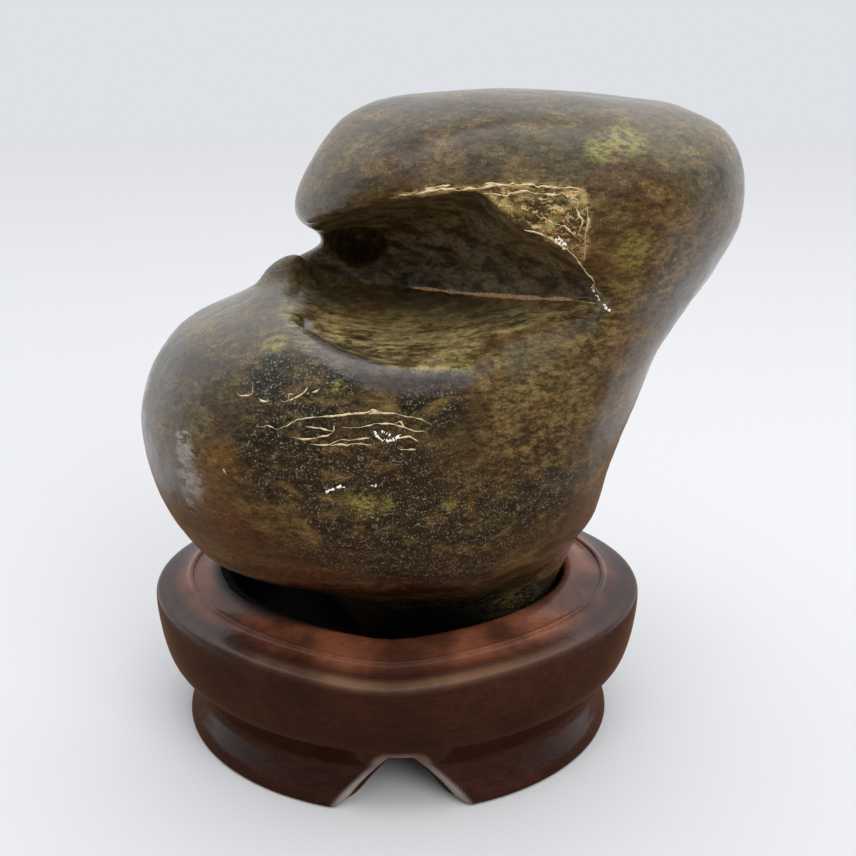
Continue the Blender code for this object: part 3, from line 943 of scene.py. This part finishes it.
def arch_rise(size, x, y, inset):
    """How high the foot's arches stand over a point; below nought away from them."""
    inward = inset.mapped(ARCH_OUTER_INSET, ARCH_INNER_INSET, 1.0, ARCH_INNER_SCALE)
    half_length = SHOULDER_HALF_LENGTH - TOE_INSET
    half_depth = SHOULDER_HALF_DEPTH - TOE_INSET * DEPTH_SHARE + FOOT_SWELL
    highest = None
    for turn_degrees in ARCH_TURNS:
        turn = math.radians(turn_degrees)
        c, s = math.cos(turn), math.sin(turn)
        outward = Vector((c / SHOULDER_HALF_LENGTH, s / SHOULDER_HALF_DEPTH)).normalized()
        offset = outward.x * half_depth * s - outward.y * half_length * c
        sideways = abs(y * outward.x - x * outward.y - offset)
        reach = sideways / (size["Arch half width"] * inward)
        fall = (reach - ARCH_FLAT).most(0.0) / (1 - ARCH_FLAT)
        rise = size["Arch height"] * inward * (fall**ARCH_BOW * -1.0 + 1.0)
        rise = rise.least(x * outward.x + y * outward.y)
        highest = rise if highest is None else highest.most(rise)
    return highest


def bent(along, beside, share, bends):
    """A cosine or a sine bent by a power that goes from the foot's to the rim's, with its point rounded."""
    power = share * (bends[1] - bends[0]) + bends[0]
    square = along * along + beside * beside * POINT_ROUNDING**2
    return along * square ** (power * 0.5 - 0.5)


def outline_point(size, turn_cosine, turn_sine, share, inset):
    """X and Y on the outline, and Y's share of the half depth; share is 0 at the foot and 1 at the rim."""
    swell = (share * -1.0 + 1.0) * inset.mapped(*SWELL_INSETS, FOOT_SWELL, 0.0)
    half_depth = (size["Half depth"] - inset * DEPTH_SHARE).most(0.0) + swell
    across = bent(turn_cosine, turn_sine, share, (FOOT_BENDS[0], RIM_BENDS[0]))
    back = bent(turn_sine, turn_cosine, share, (FOOT_BENDS[1], RIM_BENDS[1]))
    return across * (size["Half length"] - inset), back * half_depth, back


def section_grid(tree, size):
    """A grid whose rows are points of the section and whose columns are turns round the outline.

    With it come the turn, the inset and the height at each of its points.
    """
    curve = {"Geometry": size["Geometry"]}
    count = add_node(tree, "GeometryNodeAttributeDomainSize", {"component": "CURVE"}, curve)
    shape = {"Size X": count - 1.0, "Size Y": 1.0, "Vertices X": count, "Vertices Y": size["Sides"] + 1.0}
    grid = add_node(tree, "GeometryNodeMeshGrid", {}, shape)
    place = add_node(tree, "GeometryNodeInputPosition", {})
    row, column = parts_of(tree, place, (0, 1))
    at_row = {"Geometry": size["Geometry"], "Value": place, "Index": row + (count - 1.0) * 0.5 + 0.25}
    section = add_node(tree, "GeometryNodeSampleIndex", {"data_type": "FLOAT_VECTOR"}, at_row)
    inset, height = parts_of(tree, section, (0, 2))
    return grid, (column + 0.5) * math.tau, inset, height


def stand_tree(sizes):
    """Sweeps the section round the stand's outline, and cuts the arches through the foot."""
    tree, size = new_geometry_tree("carved_stand", sizes)
    grid, turn, inset, height = section_grid(tree, size)
    turn_cosine, turn_sine = turn.reckon("COSINE"), turn.reckon("SINE")
    share = ((height - WAIST_HEIGHT) / (SHOULDER_HEIGHT - WAIST_HEIGHT)).most(0.0).least(1.0)
    x, y, _ = outline_point(size, turn_cosine, turn_sine, share, inset)

    rise = arch_rise(size, x, y, inset)
    rounding = size["Arch rounding"]
    bared = rise.mapped(TOE_HEIGHT, WAIST_HEIGHT, TOE_INSET, WAIST_INSET)
    below = (height - rise).mapped(rounding * -1.0, rounding, 1.0, 0.0)
    inset = inset + (inset.soft_most(bared, rounding) - inset) * below
    above = (height - rise) / CHAMFER
    # A painted highlight on the planed band, stored for the finish.
    bevel = above.mapped(BEVEL_FULL, BEVEL_GONE, 1.0, 0.0) * above.mapped(BEVEL_BELOW, 0.0)
    inset = inset + (above * -1.0 + 1.0).most(0.0).least(1.0) * CHAMFER * CHAMFER_SLOPE
    x, y, back = outline_point(size, turn_cosine, turn_sine, share, inset)
    height = height.soft_most(rise, rounding) + share**2.0 * (back + 1.0) * size["Rim rise"] * 0.5

    point = add_node(tree, "ShaderNodeCombineXYZ", {}, [x, y, height])
    marked = stored(tree, stored(tree, grid, "inset", inset), "bevel", bevel)
    swept = add_node(tree, "GeometryNodeSetPosition", {}, {"Geometry": marked, "Position": point})
    closed = add_node(tree, "GeometryNodeMergeByDistance", {}, {"Geometry": swept, "Distance": SEAM})
    end_geometry_tree(tree, closed, size["Lacquer"])
    return tree


def socket_mesh():
    """The stone's own foot, a fit gap larger all round."""
    levels = smooth_rows(STONE_LEVELS[: SOCKET_LEVELS + 2], STEPS_PER_LEVEL)
    rings = stone_rings(levels[: SOCKET_LEVELS * STEPS_PER_LEVEL], SOCKET_SIDES, FIT_GAP)
    floor = rings[:1] - (0, 0, FIT_GAP)
    return mesh_from_rings("socket", np.vstack([floor, rings]))


def swept_points(mesh):
    """X, Y and Z of the swept stand's points; its mesh holds millimetres until it is turned and moved."""
    return (points_of(mesh) * MM).T


def paint_stand(mesh):
    """Paints the dish dark with shade, the rim's brighter red top (rubbed lacquer and painted light), and a
    painted highlight on the shoulder's front edge.
    """
    x, y, z = swept_points(mesh)
    inset = numbers_of(mesh.attributes["inset"].data, "value", 1)[:, 0].astype(float)
    outwards = np.hypot((x - DISH_MIDDLE) / DISH_HALF_LENGTH, y / DISH_HALF_DEPTH)
    dish = (z > DISH_HEIGHT) * (1 - eased(outwards, DISH_EDGE, 1.0))
    level = z - (1 + y / SHOULDER_HALF_DEPTH) * RIM_RISE / 2
    front = np.exp(-(((x - EDGE_MIDDLE) / EDGE_REACH) ** 2)) * (y < 0)
    edge = np.exp(-(((inset - EDGE_INSET) / EDGE_HALF_WIDTH) ** 2)) * eased(level, *EDGE_HEIGHTS)
    paint(mesh, "dish", dish)
    # The rim's top: rubbed lacquer and painted light.
    paint(mesh, "worn", eased(level, *WORN_HEIGHTS) * eased(inset, *WORN_INSETS) * (1 - dish))
    # Painted highlight along the shoulder's front edge.
    paint(mesh, "edge", edge * front)
    for face in mesh.polygons:
        face.material_index = int(min(dish[i] for i in face.vertices) > BARE_DISH)


def build_stand(lacquer, dull):
    sizes = {**STAND_SIZES, "Lacquer": lacquer}
    stand = show("carved_stand", section_curve())
    give_sizes(stand_tree(sizes), stand, sizes, "sweep")
    stand = settle(stand)
    mesh = turned_outwards(stand.data)
    mesh.materials.clear()
    mesh.materials.append(lacquer)
    mesh.materials.append(dull)
    paint_stand(mesh)
    c, s = math.cos(STAND_TURN), math.sin(STAND_TURN)
    x, y, z = swept_points(mesh)
    put_points(mesh, np.stack([x * c - y * s + STAND_X, x * s + y * c, z], 1))
    stand = cut_away(stand, show("socket", socket_mesh()))
    stand.data.shade_smooth()
    return stand


# ---- materials ------------
def blend(tree, share, first, second, way="MIX"):
    """A colour between two others."""
    colours = [value if isinstance(value, Wire) else (*value, 1) for value in (first, second)]
    settings = {"data_type": "RGBA", "blend_type": way, "clamp_factor": True}
    return add_node(tree, "ShaderNodeMix", settings, {0: share, 6: colours[0], 7: colours[1]}, output=2)


def grain(tree, place, size, detail=4.0, roughness=0.55, distortion=0.0):
    """Cloudy noise from 0 to 1 with lumps of about the given size in millimetres."""
    inputs = {
        "Vector": place, "Scale": 1 / size, "Detail": detail, "Roughness": roughness, "Distortion": distortion
    }
    return add_node(tree, "ShaderNodeTexNoise", {}, inputs)


def in_millimetres(tree, stretch=(1, 1, 1), turn=(0, 0, 0)):
    """The object's own coordinates in millimetres, stretched and turned for a pattern with a direction."""
    place = add_node(tree, "ShaderNodeTexCoord", {}, output=3)
    scale = [1 / (MM * factor) for factor in stretch]
    return add_node(tree, "ShaderNodeMapping", {}, {"Vector": place, "Rotation": turn, "Scale": scale})


def painted(tree, name):
    """One of the numbers stored on the mesh's points."""
    return add_node(tree, "ShaderNodeAttribute", {"attribute_name": name}, output=2)


def layered(tree, colour, layers):
    """A colour under layers of paint; each layer is its share and its colour."""
    for share, shade in layers:
        colour = blend(tree, share, colour, shade)
    return colour


def lit(tree, colour, strength):
    """A colour made darker or lighter."""
    return vector_math(tree, "SCALE", {0: colour, 3: strength})


def plain_material(title, colour, roughness, coat=0.0, coat_roughness=0.03):
    material = bpy.data.materials.new(title)
    material.use_nodes = True
    shader = material.node_tree.nodes["Principled BSDF"]
    shader.inputs["Base Color"].default_value = (*colour, 1)
    shader.inputs["Roughness"].default_value = roughness
    shader.inputs["Coat Weight"].default_value = coat
    shader.inputs["Coat Roughness"].default_value = coat_roughness
    return material


def bumped(tree, height, depth, strength=1.0):
    """A normal from a height; depth is the height's full swing in millimetres."""
    inputs = {"Height": height, "Distance": depth * MM, "Strength": strength}
    return add_node(tree, "ShaderNodeBump", {}, inputs)


def river_stone_finish():
    """Wet-looking stone: olive brown clouded with green-black and gold, speckled fine, and reddish brown
    below, partly rusty and partly a painted warm reflection. Other paint stands for light as well: a grey
    sheen band, a wet highlight, glinting gold at the lip, and painted shade in the groove and about the foot.
    """
    material = plain_material("river_stone_finish", OLIVE, 0.3, coat=0.5, coat_roughness=0.05)
    tree = material.node_tree
    place = in_millimetres(tree)
    lying = in_millimetres(tree, (2.0, 1.6, 1.0), (0.0, math.radians(14), 0.0))
    tilted = in_millimetres(tree, (5.0, 5.0, 1.0), (0.0, math.radians(24), 0.0))
    level = in_millimetres(tree, (4.5, 1.0, 1.0))
    clouds = grain(tree, place, 17.0, detail=3.0, distortion=0.5)
    patches = grain(tree, place, 8.0, detail=5.0, roughness=0.6, distortion=0.6)
    mottle = grain(tree, lying, 2.7, detail=5.0, roughness=0.6, distortion=0.4)
    flecks = grain(tree, lying, 0.7, detail=3.0, roughness=0.7)
    sparkle = grain(tree, place, 0.3, detail=2.0, roughness=0.6)
    beds = grain(tree, tilted, 4.6, detail=5.0)
    streaks = grain(tree, level, 1.5, detail=5.0, roughness=0.68, distortion=0.4)
    threads = abs(grain(tree, place, 1.2, detail=3.0, roughness=0.6, distortion=0.5) - 0.5)
    names = "dark band rust light amber wall floor moss groove scar shade facet gilt".split()
    dark, band, rust, light, amber, wall, floor, moss, groove, scar, shade, facet, gilt = (
        painted(tree, name) for name in names
    )

    dark = dark * mottle.mapped(0.68, 0.46)
    plain = band.mapped(0.2, 0.8, 1.0, 0.4)
    tufts = flecks * 0.5 + mottle * 0.5
    veined = streaks * 0.6 + mottle * 0.4
    colour = layered(tree, blend(tree, patches.mapped(0.42, 0.58), BROWN, OLIVE), (
        (mottle.mapped(0.44, 0.68) * 0.8, GOLD),
        (clouds.mapped(0.56, 0.40) * 0.4, GREEN_BLACK),
        (beds.mapped(0.48, 0.66) * 0.5, GREEN_BLACK),
        # Reddish brown low down: partly rusty colour, partly a painted warm reflection from below.
        (rust * patches.mapped(0.3, 0.5) * 0.85, RUST_AND_REFLECTION),
        (rust * beds.mapped(0.47, 0.56) * 0.7, DARK_RED),
        (light * tufts.mapped(0.43, 0.60) * 0.65, GOLD),
        (dark * 0.9, GREEN_BLACK),
        # Orange-brown, on the bulge's left largely a painted warm reflection of a wooden table.
        (amber * 0.8, AMBER_AND_REFLECTION),
        (wall * mottle.mapped(0.48, 0.60) * 0.85, GREEN_BLACK),
        (wall * mottle.mapped(0.57, 0.41, 0.1, 0.8), SHADE_OLIVE),
        (floor * veined.mapped(0.42, 0.58) * 0.8, FLOOR_GOLD),
        (moss * flecks.mapped(0.3, 0.58, 0.2, 0.85), MOSS),
        # Painted grey sheen on the band below the hollow's rim.
        (band.mapped(0.1, 0.7) * 0.8, BAND_SHEEN_GREY),
        # Painted shade along the groove behind the hollow's rim.
        (groove * 0.8, GREEN_BLACK),
        # Painted wet highlight along the bulge's left edge.
        (scar * mottle.mapped(0.44, 0.5), WET_HIGHLIGHT_GREY),
    ))
    pepper = flecks.mapped(0.3, 0.65, -0.45, 0.4) + (sparkle.mapped(0.35, 0.6) - 0.6) * (dark * 0.6 + 0.35)
    salt = sparkle.mapped(0.55, 0.65) * flecks.mapped(0.40, 0.58) * plain
    bright = threads.mapped(0.035, 0.006) * flecks.mapped(0.40, 0.54) + flecks.mapped(0.56, 0.63)
    colour = layered(tree, lit(tree, colour, pepper * plain + 1.0), (
        (salt * mottle.mapped(0.45, 0.6, 0.1, 0.45), PALE_SPECK),
        (salt * dark * 0.85, GREY_SPECK),
        # Painted shade: black on the foot down in the socket.
        (shade, BLACK),
        (facet * mottle.mapped(0.42, 0.56, 0.05, 0.85), FACET_OLIVE),
        # Golden threads and edges on the facet and the lip: mineral colour with painted glint.
        (facet * bright, GILT_AND_GLINT),
        (gilt * flecks.mapped(0.42, 0.52) * mottle.mapped(0.38, 0.52), GILT_AND_GLINT),
    ))

    inputs = tree.nodes["Principled BSDF"].inputs
    surface = flecks * 0.6 + sparkle * 0.25 + mottle * 0.6
    feed(tree, inputs["Base Color"], colour)
    feed(tree, inputs["Roughness"], mottle.mapped(0.35, 0.7, 0.22, 0.40) + flecks * 0.1)
    feed(tree, inputs["Normal"], bumped(tree, surface, 0.12, 0.55))
    feed(tree, inputs["Coat Normal"], bumped(tree, surface, 0.05, 0.5))
    return material


def gilt_finish(title, colour, shine):
    """A bright line or fleck that glows a little by itself as a painted glint: uneven in tone, and broken by
    darker grains.
    """
    material = plain_material(title, colour, 0.32)
    tree = material.node_tree
    grains = grain(tree, in_millimetres(tree), 0.8, detail=3.0, roughness=0.7)
    inputs = tree.nodes["Principled BSDF"].inputs
    feed(tree, inputs["Base Color"], lit(tree, colour, grains.mapped(0.3, 0.6, 0.45, 1.0)))
    feed(tree, inputs["Roughness"], grains.mapped(0.3, 0.7, 0.22, 0.45))
    feed(tree, inputs["Normal"], bumped(tree, grains, 0.05, 0.5))
    # Painted glint: the line or fleck glows by itself though it is no lamp.
    inputs["Emission Color"].default_value = (*colour, 1)
    inputs["Emission Strength"].default_value = shine
    return material


def lacquer_finish():
    """Dark red-brown lacquer over hardwood: fine grain along the length, uneven gloss, dull in the dish.
    Light is painted in too: a brighter rim top, highlights on the shoulder and the arches, and a near-black
    dish for shade.
    """
    material = plain_material("lacquer_finish", LACQUER_DARK, 0.25)
    tree = material.node_tree
    place = in_millimetres(tree)
    along = in_millimetres(tree, (9.0, 0.9, 0.9))
    streaks = grain(tree, along, 1.1, detail=4.0, roughness=0.55, distortion=0.3)
    patches = grain(tree, place, 13.0, detail=3.0)
    pores = grain(tree, in_millimetres(tree, (5.0, 1.0, 1.0)), 0.35, detail=2.0)
    nibs = grain(tree, place, 0.9, detail=2.0)
    worn, edge, bevel, dish = (painted(tree, name) for name in ("worn", "edge", "bevel", "dish"))
    colour = blend(tree, streaks.mapped(0.38, 0.68), LACQUER_DARK, LACQUER_RED)
    # Brighter red on the rim's top: rubbed lacquer, with painted sheen where light falls on it.
    colour = blend(tree, worn * patches.mapped(0.3, 0.6, 0.35, 1.0), colour, LACQUER_WORN_AND_LIT)
    colour = lit(tree, colour, patches.mapped(0.3, 0.7, 0.7, 1.25) * pores.mapped(0.3, 0.6, 0.85, 1.08))
    colour = layered(tree, colour, (
        # Painted highlight along the shoulder's front edge.
        (edge * patches.mapped(0.3, 0.6, 0.35, 0.85), LACQUER_EDGE_HIGHLIGHT),
        # Pale painted highlight on the arches' planed edges.
        (bevel * patches.mapped(0.3, 0.5, 0.5, 1.0), LACQUER_BEVEL_HIGHLIGHT),
        # Painted shade: the dish under the stone is near black.
        (dish, DISH_SHADE),
    ))
    inputs = tree.nodes["Principled BSDF"].inputs
    feed(tree, inputs["Base Color"], colour)
    feed(tree, inputs["Roughness"], streaks.mapped(0.3, 0.7, 0.11, 0.22) + dish * 0.5)
    feed(tree, inputs["Normal"], bumped(tree, pores * 0.3 + streaks * 0.3 + nibs * 0.7, 0.06, 0.6))
    return material


def dish_finish():
    """The stand's dish, bare of lacquer and dull, and painted near black as shade."""
    material = plain_material("dish_finish", DISH_SHADE, 0.9)
    material.node_tree.nodes["Principled BSDF"].inputs["Specular IOR Level"].default_value = 0.15
    return material


# ---- camera, light and floor ------------
def set_camera():
    camera = show("camera", bpy.data.cameras.new("camera"))
    camera.location = Vector(EYE) * MM + CARRIER
    camera.rotation_euler = (EYE_TILT, 0, EYE_TURN)
    camera.data.lens = LENS
    camera.data.sensor_width = SENSOR
    camera.data.clip_start = 0.01
    bpy.context.scene.camera = camera


def light_room():
    world = bpy.data.worlds.new("room")
    bpy.context.scene.world = world
    world.use_nodes = True
    tree = world.node_tree
    direction = add_node(tree, "ShaderNodeTexCoord", {}, output=0)
    x, y, z = parts_of(tree, direction)
    around = blend(tree, y.mapped(-0.75, 0.35), ROOM_BEFORE, ROOM_BEHIND)
    mirrored = add_node(tree, "ShaderNodeLightPath", {}, output="Is Glossy Ray")
    beside = abs(x).mapped(0.55, 0.95) * y.mapped(0.0, 0.4)
    around = blend(tree, beside * mirrored, around, MIRRORED_SIDES)
    ceiling = blend(tree, y.mapped(-0.3, 0.3), MIRRORED_ABOVE_BEFORE, MIRRORED_ABOVE_BEHIND)
    above = blend(tree, mirrored, ROOM_ABOVE, ceiling)
    colour = blend(tree, z.mapped(0.35, 0.85), around, above)
    seen = add_node(tree, "ShaderNodeLightPath", {}, output="Is Camera Ray")
    colour = blend(tree, seen, colour, ROOM_BEHIND)
    background = tree.nodes["Background"]
    feed(tree, background.inputs["Color"], colour)
    background.inputs["Strength"].default_value = ROOM_STRENGTH


def hang_lamp(title, place, width, depth, watts):
    data = bpy.data.lights.new(title, "AREA")
    data.shape = "RECTANGLE"
    data.size, data.size_y = width, depth
    data.energy = watts
    lamp = show(title, data)
    lamp.location = Vector(place) + CARRIER
    lamp.rotation_euler = (LAMP_AIM - Vector(place)).to_track_quat("-Z", "Y").to_euler()
    lamp.visible_glossy = False


def lay_floor():
    half = FLOOR_SIZE / 2
    mesh = bpy.data.meshes.new("floor")
    corners = ((-half, -half, 0), (half, -half, 0), (half, half, 0), (-half, half, 0))
    mesh.from_pydata(corners, [], [(0, 1, 2, 3)])
    material = plain_material("pale_floor", FLOOR_PALE, 0.7)
    tree = material.node_tree
    seen = add_node(tree, "ShaderNodeLightPath", {}, output=0)
    spot = add_node(tree, "ShaderNodeTexCoord", {}, output=3)
    x, y = parts_of(tree, spot, (0, 1))
    pale = seen + y.mapped(*TABLE_END) + abs(x).mapped(*TABLE_SIDE) * y.mapped(-0.1, 0.02)
    colour = blend(tree, pale, FLOOR_BOUNCE, FLOOR_PALE)
    feed(tree, tree.nodes["Principled BSDF"].inputs["Base Color"], colour)
    mesh.materials.append(material)
    show("floor", mesh)


def main():
    bpy.context.scene.view_settings.view_transform = "Standard"
    set_camera()
    light_room()
    lay_floor()
    for title, lamp in LAMPS.items():
        hang_lamp(title, *lamp)
    stone = build_stone(river_stone_finish())
    cream = gilt_finish("cream_gold_finish", CREAM_GOLD, GILT_SHINE)
    orange = gilt_finish("orange_gold_finish", ORANGE_HIGHLIGHT, CORNER_HIGHLIGHT_GLOW)
    white_glint = gilt_finish("quartz_finish", WHITE_GLINT, WHITE_GLINT_GLOW)
    marks = [
        build_lines("golden_veins", thread_tree, VEINS_AND_GLINTS, VEIN_SIZES, stone, cream),
        build_lines("lip_threads", thread_tree, LIP_THREADS_AND_GLINTS, THREAD_SIZES, stone, cream),
        build_lines("corner_seam", thread_tree, CORNER_HIGHLIGHT_LINES, CORNER_HIGHLIGHT_SIZES, stone, orange),
        build_lines("quartz_flecks", fleck_tree, WHITE_GLINT_LINES, WHITE_GLINT_SIZES, stone, white_glint),
    ]
    stand = build_stand(lacquer_finish(), dish_finish())
    for piece in (stone, stand, *marks):
        place_in_frame(piece)
        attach(piece, "root")
    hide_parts("stone")
    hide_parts("stand")


main()
